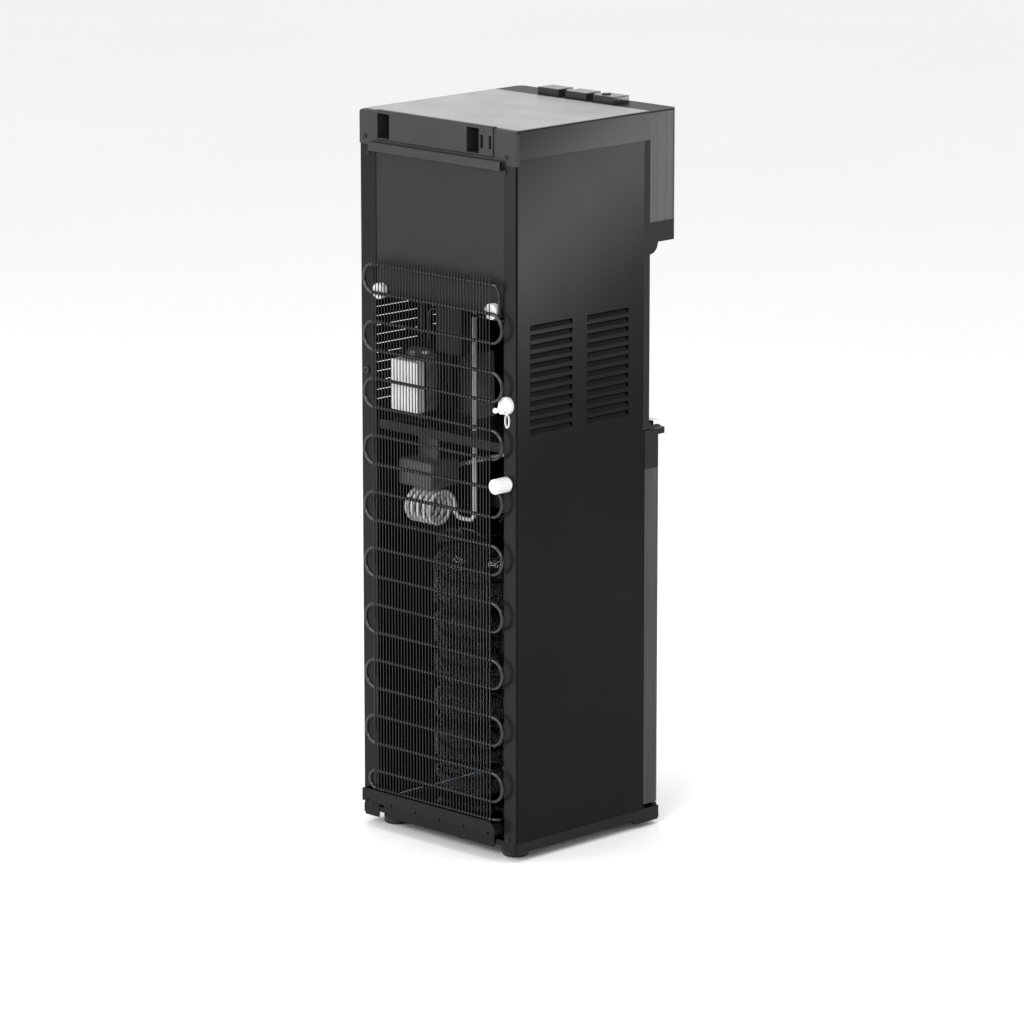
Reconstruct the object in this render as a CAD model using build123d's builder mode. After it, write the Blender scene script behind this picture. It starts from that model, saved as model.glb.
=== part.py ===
from build123d import *
import os

# Floor-standing water dispenser that takes its bottle in a cupboard below the taps.
# +Z is up, the front faces -Y, and the origin is on the floor under the middle of the object.

os.makedirs("parts", exist_ok=True)

# ---- overall sizes
width = 305.0
depth = 345.0
top_z = 1020.5
rear_reach = 28.5  # the drain caps stand this far behind the steel back
head_reach = 54.5  # the head stands this far in front of the niche rim
frame_thick = 12.0  # front moulding, between the steel sides and the niche rim

# ---- walls and fits
sheet = 0.8
wall = 2.5
thin_wall = 1.5
slack = 0.5
run_fit = 0.05

half = width / 2
back = depth / 2 - rear_reach
head_front = -depth / 2
rim = head_front + head_reach
side_front = rim + frame_thick
inner = half - sheet

# ---- steel sides
side_low = 28.0
band_height = 39.5
side_high = top_z - band_height
flange_low = 12.0
flange_left = 31.5
flange_right = 24.0
fold_radius = 3.0
return_lip = 12.0
louvre_rows = 12
louvre_pitch = 13.1
louvre_low = 600.0
louvre_rise = 8.5
louvre_sink = 5.0
louvre_length = 84.0
louvre_from_back = (25.5, 136.5)

# ---- rear cap, grip rail and back panel
cap_thick = 6.0
cap_proud = 1.6
cap_low = top_z - 47.5
cap_crown = 2.0
cap_corner = 5.0
plate_inset = 3.0
proud_right = -109.3
proud_left = 118.0
pocket_wide = 23.5
pocket_low = top_z - 36.5
pocket_high = top_z - 2.0
pocket_depth = 20.0
pocket_x = (103.6, -71.0)
rail_reach = 7.5
rail_height = 13.0
rail_low = cap_low - 8.0
rail_half = 128.0
panel_low = 765.0

# ---- rear rocker switches
rocker_axis_z = top_z - 19.5
rocker_axis_in = 2.0
rocker_half = 7.3
rocker_tilt_step = 1.3
rocker_face = 6.6
rocker_back = 3.0
rocker_pin = 1.0
rocker_pin_length = 1.2
rocker_slot_half = 9.0
rocker_side_gap = 0.35
rocker_places = {"rocker_heating": (-88.1, 4.3), "rocker_cooling": (-103.85, 3.6)}
housing_right = -109.0
housing_left = -84.4
housing_depth = 14.0
housing_half = 12.0

# ---- base
base_low = 13.0
base_top = 27.5
rear_skirt_low = 15.0
block_low = 7.5
block_back = rim + 26.0
floor_thick = 3.0
toe_reach = 3.5
sill_thick = 9.0
sill_high = 4.0
foot_x = 118.4
foot_in = 32.5
foot_radius = 18.5
foot_height = 12.0
foot_stem = 4.0
foot_stem_top = 24.0
boss_radius = 11.0
glide_x = 98.0
glide_radius = 14.0
lip_low = 38.0
lip_top = 56.5
lip_left = 138.0
lip_right = -126.0
lip_reach = 17.0
lip_corner = 14.0
lip_tab = 110.0
lip_notches = 6
lip_notch_pitch = 48.0

# ---- niche, ledge and drip tray
ledge_top = 578.0
ledge_thick = 3.0
ledge_reach = 23.0
niche_half = 113.0
niche_top = 830.0
niche_depth = 81.5
niche_floor = 561.0
niche_corner = 20.0
cove_low = 13.0
tray_half = 105.0
tray_gap = 3.0
tray_rim = 582.0
grille_top = 584.0
grille_front_half = 148.0
grille_bow = 7.0
grille_slot = 3.0
grille_pitch = 7.0
grille_slot_length = 46.0

# ---- head, spouts and keys
head_low = 837.0
skin_low = 866.0
skin_high = top_z - wall
head_corner = 10.0
gusset = 16.0
key_pitch = 54.0
key_wide = 40.5
key_deep = 30.0
key_rise = 10.5
key_back = rim - 9.0
key_gap = 0.4
key_flange = 2.3
key_skirt = 12.0
key_travel = 4.0
board_top = top_z - 26.5
board_thick = 2.5
switch_high = 5.6
spring_radius = 5.0
spring_wire = 0.8
spring_turns = 6
spout_radius = 7.0
spout_drop = 23.0
spout_y = rim - 30.0
lock_x = 9.0
lock_long = 9.0
lock_wide = 9.0
lock_high = 1.5
lock_stem = 2.6
lock_stem_long = 4.6
lock_travel = 4.0

# ---- door
door_gap = 4.0
door_thick = 31.0
door_low = 34.0
door_top = 572.5
door_side_gap = 0.5
door_skin_top = 518.0
door_corner = 6.0
door_heel = 8.0
door_pin_x = 140.0
door_pin_behind = 7.0
door_pin = 3.0
door_boss = 7.5
door_boss_high = 10.0
pull_reach = 13.5
pull_high = 8.5
frame_bar = 20.0
frame_plate = 2.5

# ---- condenser
pass_count = 20
pass_pitch = 40.28
pass_top = 809.1
last_pass = 57.5
condenser_out = 10.0
tube_radius = 2.5
bend_left = 115.0
bend_right = -115.0
outlet_x = -110.0
outlet_bend = 12.0
wire_count = 39
wire_radius = 0.75
wire_left = 115.0
wire_right = -114.0
wire_top = 819.0
wire_low = 44.0
mount_x = 110.0
mount_z = 771.0
mount_radius = 11.0

# ---- shelves and what stands on them
shelf_low = 575.0
shelf_flange = 13.0
shelf_front = rim + 88.0
tank_shelf_low = 773.0
compressor_x = 75.0
compressor_in = 58.0
compressor_radius = 40.0
compressor_low = 591.0
compressor_high = 700.0
compressor_round = 18.0
mount_rubber = 12.0
plate_thick = 3.0
relay_x = (47.0, 98.0)
relay_z = (604.0, 676.0)
relay_deep = 15.0
hot_x = 100.0
hot_in = 139.0
hot_radius = 28.0
hot_top = 745.0
hot_foam_x = (62.0, 140.0)
hot_foam_top = 669.0
cold_in = 89.0
cold_radius = 66.0
cold_low = 792.0
cold_high = 944.0
cold_foam_half = 110.0
cold_foam_top = 960.0
coil_radius = 70.0
coil_tube = 4.0
coil_pitch = 14.0
coil_turns = 8
box_x = (-23.0, 27.0)
box_z = (694.0, 764.0)
box_in = (22.0, 40.0)

# ---- bottle, pump and hoses
bottle_radius = 125.0
bottle_wall = 1.6
bottle_in = 143.0
bottle_body = 385.0
bottle_shoulder = 432.0
bottle_neck = 26.0
bottle_mouth = 478.0
bottle_ribs = 6
rib_deep = 5.0
rib_high = 14.0
cap_height = 34.0
hose_radius = 3.0
hose_in = 60.0
pump_x = (46.0, 113.0)
pump_z = (492.0, 530.0)
pump_deep = 56.0
hose_coil_radius = 23.0
hose_coil_turns = 5
hose_coil_pitch = 11.0
hose_coil_x = 78.5
hose_coil_z = 462.0
riser_x = 12.0
riser_dip = 16.0

# ---- drains and gland
drain_x = -137.0
drain_cold_z = 640.5
drain_hot_z = 535.0
drain_bore = 2.5
drain_stub = 4.0
drain_flange = 12.0
drain_flange_thick = 6.5
hot_cap_radius = 10.5
hot_cap_ribs = 18
knob_radius = 3.8
gland_x = 140.5
gland_z = 655.0


def block(x, y, z, mode=Mode.ADD):
    """Add or cut a box between two limits along each axis."""
    with Locations(((x[0] + x[1]) / 2, (y[0] + y[1]) / 2, (z[0] + z[1]) / 2)):
        Box(abs(x[1] - x[0]), abs(y[1] - y[0]), abs(z[1] - z[0]), mode=mode)


def post(x, y, z, radius, mode=Mode.ADD):
    """Add or cut an upright cylinder between two heights."""
    with Locations((x, y, (z[0] + z[1]) / 2)):
        Cylinder(radius, abs(z[1] - z[0]), mode=mode)


def spindle(x, y, z, radius, mode=Mode.ADD):
    """Add or cut a cylinder that lies along Y, between two depths."""
    with Locations((x, (y[0] + y[1]) / 2, z)):
        Cylinder(radius, abs(y[1] - y[0]), rotation=(90, 0, 0), mode=mode)


def pipe(points, radii, radius):
    """Add a round pipe of straight runs joined by tangent arcs."""
    with BuildLine() as run:
        route = FilletPolyline(*points, radius=radii)
    with BuildSketch(Plane(origin=route @ 0, z_dir=route % 0)) as ring:
        Circle(radius)
    sweep(sections=ring.sketch, path=run.wires()[0])


def save(piece, name):
    """Label a finished piece and write it."""
    piece.part.label = name
    export_step(piece.part, f"parts/{name}.step")


# ---- steel side panels: folded sheet with pressed louvres
for name, side, flange in (("side_panel_left", 1, flange_left), ("side_panel_right", -1, flange_right)):
    outline = [
        (half, side_front),
        (half, back),
        (half - flange, back),
        (half - flange, back - sheet),
        (inner, back - sheet),
        (inner, side_front + sheet),
        (half - return_lip, side_front + sheet),
        (half - return_lip, side_front),
    ]
    with BuildPart() as panel:
        with BuildSketch(Plane.XY.offset(side_low)) as plan:
            with BuildLine():
                Polyline(*[(side * x, y) for x, y in outline], close=True)
            make_face()
            fillet(plan.vertices().sort_by_distance((side * half, back))[0], fold_radius)
            fillet(plan.vertices().sort_by_distance((side * inner, back - sheet))[0], fold_radius - sheet)
        extrude(amount=side_high - side_low)
        flange_edge = side * (half - flange)
        block((flange_edge, side * (half - fold_radius)), (back - sheet, back), (flange_low, side_low))
        block((flange_edge, side * half), (back - cap_thick, back), (cap_low, side_high), mode=Mode.SUBTRACT)
        if side < 0:
            for drain_z in (drain_cold_z, drain_hot_z):
                spindle(drain_x, (back - sheet, back), drain_z, drain_stub + run_fit, mode=Mode.SUBTRACT)
        for start in louvre_from_back:
            louvre_end = back - start
            rows = [louvre_low + louvre_pitch * row for row in range(louvre_rows)]
            for row in rows:
                block(
                    (side * (inner - sheet), side * (half + sheet)),
                    (louvre_end - louvre_length, louvre_end),
                    (row + sheet, row + louvre_rise),
                    mode=Mode.SUBTRACT,
                )
            with BuildSketch(Plane.XZ.offset(-louvre_end)):
                for row in rows:
                    with BuildLine():
                        Polyline(
                            (side * half, row),
                            (side * (half - louvre_sink + sheet), row + louvre_rise),
                            (side * (half - louvre_sink), row + louvre_rise),
                            (side * inner, row),
                            close=True,
                        )
                    make_face()
            extrude(amount=louvre_length)
            for cheek_end in (louvre_end, louvre_end - louvre_length + sheet):
                with BuildSketch(Plane.XZ.offset(-cheek_end)):
                    for row in rows:
                        with BuildLine():
                            Polyline(
                                (side * half, row),
                                (side * half, row + louvre_rise),
                                (side * (half - louvre_sink), row + louvre_rise),
                                (side * inner, row),
                                close=True,
                            )
                        make_face()
                extrude(amount=sheet)
    save(panel, name)

# ---- upper back panel: flat sheet behind the side flanges
panel_back = back - sheet
with BuildPart() as back_panel:
    block((-half + flange_right - 7, half - flange_left + 7), (panel_back - sheet, panel_back), (panel_low, cap_low - slack))
save(back_panel, "upper_back_panel")

# ---- base: moulded tray with skirts, a deep block under the door and four supports
foot_y = back - foot_in
glide_y = rim - 4.0
with BuildPart() as base:
    block((-half, half), (side_front - 0.5, back - sheet), (base_low, base_top))
    block((-half, half), (rim - ledge_reach, block_back), (block_low, base_top))
    front_edges = base.edges().filter_by(Axis.X).group_by(Axis.Z)[0]
    fillet(front_edges, 4.0)
    block((-half + wall, half - wall), (block_back, back - sheet - wall), (base_low, base_top - floor_thick), mode=Mode.SUBTRACT)
    block(
        (-half + wall, half - wall),
        (rim - ledge_reach + wall, block_back - wall),
        (block_low, base_top - floor_thick),
        mode=Mode.SUBTRACT,
    )
    block((-half, half), (back - sheet - wall, back - sheet), (base_low, rear_skirt_low), mode=Mode.SUBTRACT)
    for side in (1, -1):
        block((side * (foot_x - 11), side * (foot_x + 5)), (back - 6, back), (base_low, foot_stem_top - 4), mode=Mode.SUBTRACT)
    block((-half + 3, half - 3), (rim - ledge_reach - toe_reach, rim - ledge_reach + wall), (block_low + 1.5, block_low + 7.5))
    block((-half + 3, half - 3), (rim - ledge_reach + 1, rim - ledge_reach + sill_thick), (base_top, base_top + sill_high))
    for side in (1, -1):
        post(side * foot_x, foot_y, (base_low + 1, base_top - floor_thick), boss_radius)
        post(side * foot_x, foot_y, (base_low, foot_stem_top + slack), foot_stem + run_fit, mode=Mode.SUBTRACT)
        post(side * glide_x, glide_y, (0, base_top - floor_thick), glide_radius)
save(base, "base_pan")

for name, side in (("rear_foot_left", 1), ("rear_foot_right", -1)):
    with BuildPart() as foot:
        post(side * foot_x, foot_y, (0, foot_height), foot_radius)
        fillet(foot.edges().sort_by(Axis.Z)[0], 3.0)
        fillet(foot.edges().filter_by(GeomType.CIRCLE).sort_by(Axis.Z)[-1], 1.5)
        post(side * foot_x, foot_y, (foot_height, foot_stem_top), foot_stem)
    save(foot, name)

# ---- rear lip: moulded trough that shields the lowest condenser pass
with BuildPart() as lip:
    with BuildSketch(Plane.XZ.offset(-back - lip_reach)) as lip_face:
        with Locations(((lip_left + lip_right) / 2, (lip_low + lip_top) / 2)):
            Rectangle(lip_left - lip_right, lip_top - lip_low)
        fillet(lip_face.vertices().sort_by_distance((lip_right, lip_top))[0], lip_corner)
        fillet(lip_face.vertices().sort_by_distance((lip_left, lip_top))[0], wall)
    extrude(amount=lip_reach)
    block(
        (lip_right + 2 * wall, lip_left - wall),
        (back + thin_wall, back + lip_reach - thin_wall),
        (lip_low + wall, lip_top + 1),
        mode=Mode.SUBTRACT,
    )
    block((-lip_tab, lip_tab), (back - sheet, back + thin_wall), (rear_skirt_low + 6, lip_low + wall))
    for notch in range(lip_notches):
        notch_x = lip_left - 10 - lip_notch_pitch * notch
        block((notch_x - 3, notch_x), (back + lip_reach - 3, back + lip_reach), (lip_low, lip_low + 4), mode=Mode.SUBTRACT)
save(lip, "rear_lip")

# ---- front moulding: niche rim, ledge and the strip beside the steel sides
front_high = side_high - 0.2
with BuildPart() as front:
    with BuildSketch(Plane.YZ.offset(-half)):
        with BuildLine():
            Polyline(
                (rim - ledge_reach, ledge_top),
                (rim - ledge_reach, ledge_top - ledge_thick),
                (side_front, ledge_top - ledge_thick),
                (side_front, front_high),
                (rim, front_high),
                (rim, head_low),
                (rim - gusset, head_low),
            )
            RadiusArc((rim - gusset, head_low), (rim, head_low - gusset), -gusset)
            Line((rim, head_low - gusset), (rim, ledge_top + cove_low))
            RadiusArc((rim, ledge_top + cove_low), (rim - cove_low, ledge_top), cove_low)
            Line((rim - cove_low, ledge_top), (rim - ledge_reach, ledge_top))
        make_face()
    extrude(amount=width)
    block((-niche_half, niche_half), (rim - ledge_reach, side_front), (ledge_top, niche_top), mode=Mode.SUBTRACT)
    window_half = half - 3 * wall
    block((-window_half, window_half), (rim, side_front), (head_low + 2 * wall, front_high), mode=Mode.SUBTRACT)
save(front, "front_panel")

# ---- niche liner: open-fronted tub behind the rim
niche_back = rim + niche_depth
with BuildPart() as liner:
    block((-niche_half - wall, niche_half + wall), (side_front, niche_back + wall), (niche_floor - wall, niche_top + wall))
    fillet(liner.edges().filter_by(Axis.Z).group_by(Axis.Y)[-1], niche_corner + wall)
    block((-niche_half - 12, niche_half + 12), (side_front, side_front + wall), (niche_floor - 9, niche_top + 12))
    with BuildSketch(Plane.XY.offset(niche_floor)) as well:
        with Locations((0, (side_front + niche_back) / 2)):
            Rectangle(2 * niche_half, niche_back - side_front)
        fillet(well.vertices().group_by(Axis.Y)[-1], niche_corner)
    extrude(amount=niche_top - niche_floor, mode=Mode.SUBTRACT)
save(liner, "niche_liner")

# ---- drip tray and its steel grille
tray_front = side_front + tray_gap
tray_back = niche_back - tray_gap - 3
with BuildPart() as tray:
    block((-tray_half, tray_half), (tray_front, tray_back), (niche_floor, tray_rim))
    fillet(tray.edges().filter_by(Axis.Z).group_by(Axis.Y)[-1], niche_corner - 2)
    with BuildSketch(Plane.XY.offset(niche_floor + 2)) as tray_well:
        with Locations((0, (tray_front + tray_back) / 2)):
            Rectangle(2 * tray_half - 4, tray_back - tray_front - 4)
        fillet(tray_well.vertices().group_by(Axis.Y)[-1], niche_corner - 4)
    extrude(amount=tray_rim - niche_floor, mode=Mode.SUBTRACT)
save(tray, "drip_tray")

grille_edge = rim - ledge_reach - 3.5
with BuildPart() as grille:
    with BuildSketch(Plane.XY.offset(ledge_top + slack)) as apron:
        with BuildLine():
            ThreePointArc((-grille_front_half, grille_edge), (0, grille_edge - grille_bow), (grille_front_half, grille_edge))
            Line((grille_front_half, grille_edge), (grille_front_half, rim - cove_low - slack))
            Line((grille_front_half, rim - cove_low - slack), (-grille_front_half, rim - cove_low - slack))
            Line((-grille_front_half, rim - cove_low - slack), (-grille_front_half, grille_edge))
        make_face()
        fillet(apron.vertices().group_by(Axis.Y)[0], 2.0)
    extrude(amount=grille_top - ledge_top - slack)
    block((-niche_half + 3, niche_half - 3), (rim - cove_low - 2, niche_back - tray_gap), (tray_rim, grille_top))
    fillet(grille.edges().filter_by(Axis.Z).group_by(Axis.Y)[-1], niche_corner - 3)
    slot_span = 2 * (tray_half - 8)
    slot_count = int(slot_span / grille_pitch)
    with BuildSketch(Plane.XY.offset(tray_rim)):
        with Locations((0, (tray_front + tray_back) / 2)):
            with GridLocations(grille_pitch, 1, slot_count, 1):
                SlotOverall(grille_slot_length, grille_slot, rotation=90)
    extrude(amount=grille_top - tray_rim, mode=Mode.SUBTRACT)
save(grille, "drip_grille")


# ---- dispensing head
def head_plan(z, inset):
    """Plan of the head with its two front corners rounded."""
    with BuildSketch(Plane.XY.offset(z)) as plan:
        with Locations((0, (head_front + inset + rim) / 2)):
            Rectangle(2 * (half - inset), rim - head_front - inset)
        fillet(plan.vertices().group_by(Axis.Y)[0], head_corner - inset)
    return plan.sketch


key_front = key_back - key_deep
key_y = (key_front + key_back) / 2
key_places = {"key_cold": key_pitch, "key_room": 0.0, "key_hot": -key_pitch}
with BuildPart() as head:
    extrude(head_plan(head_low, 0), amount=skin_low - head_low)
    extrude(head_plan(skin_low, sheet), amount=skin_high - skin_low)
    extrude(head_plan(skin_high, 0), amount=top_z - skin_high)
    extrude(head_plan(head_low + wall, sheet + wall), amount=skin_high - head_low - wall, mode=Mode.SUBTRACT)
    for key_x in key_places.values():
        block(
            (key_x - key_wide / 2 - key_gap, key_x + key_wide / 2 + key_gap),
            (key_front - key_gap, key_back + key_gap),
            (skin_high, top_z),
            mode=Mode.SUBTRACT,
        )
        post(key_x, spout_y, (head_low, head_low + wall), spout_radius - 2, mode=Mode.SUBTRACT)
save(head, "head_shell")

with BuildPart() as skin:
    extrude(head_plan(skin_low, 0), amount=skin_high - skin_low)
    extrude(head_plan(skin_low, sheet), amount=skin_high - skin_low, mode=Mode.SUBTRACT)
save(skin, "head_skin")

with BuildPart() as spouts:
    for key_x in key_places.values():
        post(key_x, spout_y, (head_low - spout_drop, head_low), spout_radius)
        fillet(spouts.edges().filter_by(GeomType.CIRCLE).group_by(Axis.Z)[0].sort_by_distance((key_x, spout_y, 0))[0], 1.5)
    for key_x in key_places.values():
        post(key_x, spout_y, (head_low, head_low + 22), spout_radius - 2)
        post(key_x, spout_y, (head_low - spout_drop, head_low + 22), spout_radius - 3.5, mode=Mode.SUBTRACT)
save(spouts, "spouts")

# ---- keys on coil springs above a switch board
key_top = top_z + key_rise
key_roof = key_top - 2.2
flange_top = skin_high - 0.1
board_half = half - sheet - wall
with BuildPart() as board:
    block((-board_half, board_half), (head_front + head_corner, rim - 1), (board_top - board_thick, board_top))
    for key_x in key_places.values():
        block((key_x - 18, key_x - 8), (key_y - 3, key_y + 3), (board_top, board_top + switch_high))
save(board, "key_board")

for name, key_x in key_places.items():
    with BuildPart() as key:
        block((key_x - key_wide / 2, key_x + key_wide / 2), (key_front, key_back), (flange_top - key_skirt, key_top))
        fillet(key.edges().group_by(Axis.Z)[-1], 1.2)
        block(
            (key_x - key_wide / 2 - key_flange, key_x + key_wide / 2 + key_flange),
            (key_front - key_flange, key_back + key_flange),
            (flange_top - wall, flange_top),
        )
        block(
            (key_x - key_wide / 2 + 2, key_x + key_wide / 2 - 2),
            (key_front + 2, key_back - 2),
            (flange_top - key_skirt, key_roof),
            mode=Mode.SUBTRACT,
        )
        block((key_x - 15, key_x - 11), (key_y - 1.5, key_y + 1.5), (board_top + switch_high + key_travel + 0.3, key_roof))
        if name == "key_hot":
            slot_x = key_x + lock_x
            block(
                (slot_x - lock_stem / 2 - 0.2, slot_x + lock_stem / 2 + 0.2),
                (key_y - lock_stem_long / 2 - lock_travel - 0.2, key_y + lock_stem_long / 2 + 0.2),
                (key_roof, key_top),
                mode=Mode.SUBTRACT,
            )
    save(key, name)
    with BuildPart() as spring:
        spring_low = board_top + spring_wire / 2 + run_fit
        spring_high = key_roof - spring_wire / 2 - run_fit
        with BuildLine():
            spring_rise = spring_high - spring_low
            turns = Helix(spring_rise / spring_turns, spring_rise, spring_radius, center=(key_x, key_y, spring_low))
        with BuildSketch(Plane(origin=turns @ 0, z_dir=turns % 0)):
            Circle(spring_wire / 2)
        sweep(path=turns, is_frenet=True)
    save(spring, name.replace("key", "key_spring"))

lock_centre = -key_pitch + lock_x
with BuildPart() as lock:
    block((lock_centre - lock_wide / 2, lock_centre + lock_wide / 2), (key_y - lock_long / 2, key_y + lock_long / 2), (key_top + 0.1, key_top + lock_high))
    block(
        (lock_centre - lock_stem / 2, lock_centre + lock_stem / 2),
        (key_y - lock_stem_long / 2, key_y + lock_stem_long / 2),
        (key_roof - 0.2, key_top + 0.1),
    )
    block((lock_centre - 2.4, lock_centre + 2.4), (key_y - 3, key_y + 3), (key_roof - 1.2, key_roof - 0.2))
save(lock, "child_lock")

# ---- top cover: plate with a band down each side
cap_front = back - cap_thick
with BuildPart() as cover:
    block((-half, half), (rim, cap_front), (side_high + 0.2, top_z))
    block((-half + wall, half - wall), (rim, cap_front), (side_high, skin_high), mode=Mode.SUBTRACT)
    fillet(cover.edges().filter_by(Axis.Y).group_by(Axis.Z)[-1], 1.5)
save(cover, "top_cover")

with BuildPart() as plate:
    block((-half + plate_inset, half - plate_inset), (rim + 1, cap_front - 1), (top_z, top_z + sheet))
    fillet(plate.edges().filter_by(Axis.Z), plate_inset)
save(plate, "top_plate")

# ---- rear cap with two hooded pockets and a switch opening
with BuildPart() as cap:
    with BuildSketch(Plane.XZ.offset(-back)) as cap_face:
        with Locations((0, (cap_low + top_z) / 2)):
            Rectangle(width, top_z - cap_low)
        fillet(cap_face.vertices().group_by(Axis.Y)[-1], cap_corner)
    extrude(amount=cap_thick)
    block((proud_right, proud_left), (cap_front, back + cap_proud), (cap_low + 8, top_z + cap_crown))
    chamfer(cap.edges().filter_by(Axis.X).filter_by_position(Axis.Y, back + cap_proud - 0.01, back + cap_proud + 0.01), cap_proud * 0.9)
    for pocket in pocket_x:
        block(
            (pocket - pocket_wide / 2 - thin_wall, pocket + pocket_wide / 2 + thin_wall),
            (cap_front - pocket_depth, cap_front),
            (pocket_low - thin_wall, skin_high - 0.1),
        )
        block(
            (pocket - pocket_wide / 2, pocket + pocket_wide / 2),
            (cap_front - pocket_depth + thin_wall, cap_front),
            (pocket_low, skin_high - 0.1 - thin_wall),
            mode=Mode.SUBTRACT,
        )
        block(
            (pocket - pocket_wide / 2, pocket + pocket_wide / 2),
            (cap_front, back + cap_proud),
            (pocket_low, pocket_high),
            mode=Mode.SUBTRACT,
        )
    for rocker_x, rocker_wide in rocker_places.values():
        block(
            (rocker_x - rocker_wide / 2 - rocker_side_gap, rocker_x + rocker_wide / 2 + rocker_side_gap),
            (cap_front, back + cap_proud),
            (rocker_axis_z - rocker_slot_half, rocker_axis_z + rocker_slot_half),
            mode=Mode.SUBTRACT,
        )
save(cap, "rear_cap")

# ---- rocker switches in one housing behind the cap
rocker_axis_y = cap_front - rocker_axis_in
with BuildPart() as housing:
    block(
        (housing_right, housing_left),
        (cap_front - housing_depth, cap_front),
        (rocker_axis_z - housing_half, rocker_axis_z + housing_half),
    )
    for rocker_x, rocker_wide in rocker_places.values():
        cheek = rocker_wide / 2 + rocker_side_gap
        block(
            (rocker_x - cheek, rocker_x + cheek),
            (cap_front - housing_depth + 2, cap_front),
            (rocker_axis_z - rocker_slot_half, rocker_axis_z + rocker_slot_half),
            mode=Mode.SUBTRACT,
        )
        with Locations((rocker_x, rocker_axis_y, rocker_axis_z)):
            Cylinder(
                rocker_pin + run_fit,
                2 * (cheek + rocker_pin_length),
                rotation=(0, 90, 0),
                mode=Mode.SUBTRACT,
            )
save(housing, "switch_housing")

for name, (rocker_x, rocker_wide) in rocker_places.items():
    with BuildPart() as rocker:
        with BuildSketch(Plane.YZ.offset(rocker_x - rocker_wide / 2)):
            with BuildLine():
                Polyline(
                    (rocker_axis_y - rocker_back, rocker_axis_z + rocker_half - 2),
                    (rocker_axis_y + rocker_face, rocker_axis_z + rocker_half),
                    (rocker_axis_y + rocker_face - 0.6, rocker_axis_z),
                    (rocker_axis_y + rocker_face + rocker_tilt_step, rocker_axis_z - rocker_half),
                    (rocker_axis_y - rocker_back, rocker_axis_z - rocker_half + 2),
                    close=True,
                )
            make_face()
        extrude(amount=rocker_wide)
        with Locations((rocker_x, rocker_axis_y, rocker_axis_z)):
            Cylinder(rocker_pin, rocker_wide + 2 * (rocker_side_gap + rocker_pin_length - 0.2), rotation=(0, 90, 0))
    save(rocker, name)

# ---- grip rail under the cap, open at one end
with BuildPart() as rail:
    block((-rail_half, rail_half), (back, back + rail_reach), (rail_low, rail_low + rail_height))
    fillet(rail.edges().filter_by(Axis.X).group_by(Axis.Y)[-1], 1.5)
    block(
        (-rail_half, rail_half - thin_wall),
        (back + thin_wall, back + rail_reach - thin_wall),
        (rail_low + thin_wall, rail_low + rail_height - thin_wall),
        mode=Mode.SUBTRACT,
    )
save(rail, "grip_rail")

with BuildPart() as screws:
    screw_rows = (
        (half - 11, pocket_low - 0.5),
        (half - 17.5, rail_low - 2.5),
        (-half + 19.5, pocket_low),
        (-half + 21.5, rail_low - 2),
        (-half + 15.5, base_top + 4),
        (half - 15.5, base_top + 4),
    )
    for screw_x, screw_z in screw_rows:
        spindle(screw_x, (back, back + 1.6), screw_z, 3.2)
        chamfer(screws.edges().filter_by(GeomType.CIRCLE).group_by(Axis.Y)[-1].sort_by_distance((screw_x, back, screw_z))[0], 0.6)
save(screws, "back_screws")

with BuildPart() as gland:
    spindle(gland_x, (back, back + 3), gland_z, 5.5)
    fillet(gland.edges().filter_by(GeomType.CIRCLE).group_by(Axis.Y)[-1], 1.0)
    spindle(gland_x, (back + 1, back + 3), gland_z, 3.0, mode=Mode.SUBTRACT)
save(gland, "cord_gland")

# ---- shelves
shelf_back = back - fold_radius - 0.1
bottle_y = back - bottle_in
hose_y = back - hose_in
riser_y = hose_y - hose_coil_radius
drier_x = outlet_x - outlet_bend
drier_y = back + condenser_out - 2 * outlet_bend - 4
with BuildPart() as shelf:
    block((-inner, inner), (shelf_front, shelf_back), (shelf_low, shelf_low + 1))
    block((-inner, inner), (shelf_back - 1, shelf_back), (shelf_low, shelf_low + shelf_flange))
    post(riser_x, riser_y, (shelf_low, shelf_low + 1), 2 * hose_radius, mode=Mode.SUBTRACT)
    post(drier_x, drier_y, (shelf_low, shelf_low + 1), 5.0, mode=Mode.SUBTRACT)
save(shelf, "compressor_shelf")

with BuildPart() as tank_shelf:
    block((-inner, inner), (shelf_front, shelf_back), (tank_shelf_low, tank_shelf_low + 1.2))
    block((-inner, inner), (shelf_front, shelf_front + 1.2), (tank_shelf_low, tank_shelf_low + 12))
save(tank_shelf, "tank_shelf")

# ---- compressor on rubber mounts
compressor_y = back - compressor_in
shelf_top = shelf_low + 1
with BuildPart() as mounts:
    for mount_dx, mount_dy in ((-34, -30), (34, -30), (-34, 30), (34, 30)):
        post(compressor_x + mount_dx, compressor_y + mount_dy, (shelf_top, shelf_top + mount_rubber), 7.0)
save(mounts, "compressor_mounts")

with BuildPart() as compressor:
    post(compressor_x, compressor_y, (compressor_low, compressor_high), compressor_radius)
    fillet(compressor.edges().filter_by(GeomType.CIRCLE), compressor_round)
    block(
        (compressor_x - 44, compressor_x + 44),
        (compressor_y - 40, compressor_y + 40),
        (compressor_low - plate_thick, compressor_low),
    )
    post(compressor_x, compressor_y, (compressor_low, compressor_low + 4), compressor_radius - compressor_round + 4)
save(compressor, "compressor")

with BuildPart() as relay:
    block(relay_x, (shelf_back - 3 - relay_deep, shelf_back - 3), relay_z)
    fillet(relay.edges().filter_by(Axis.Y), 3.0)
    post(compressor_x, compressor_y, (relay_z[0] - 1, relay_z[1] + 1), compressor_radius, mode=Mode.SUBTRACT)
save(relay, "relay_box")

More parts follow.
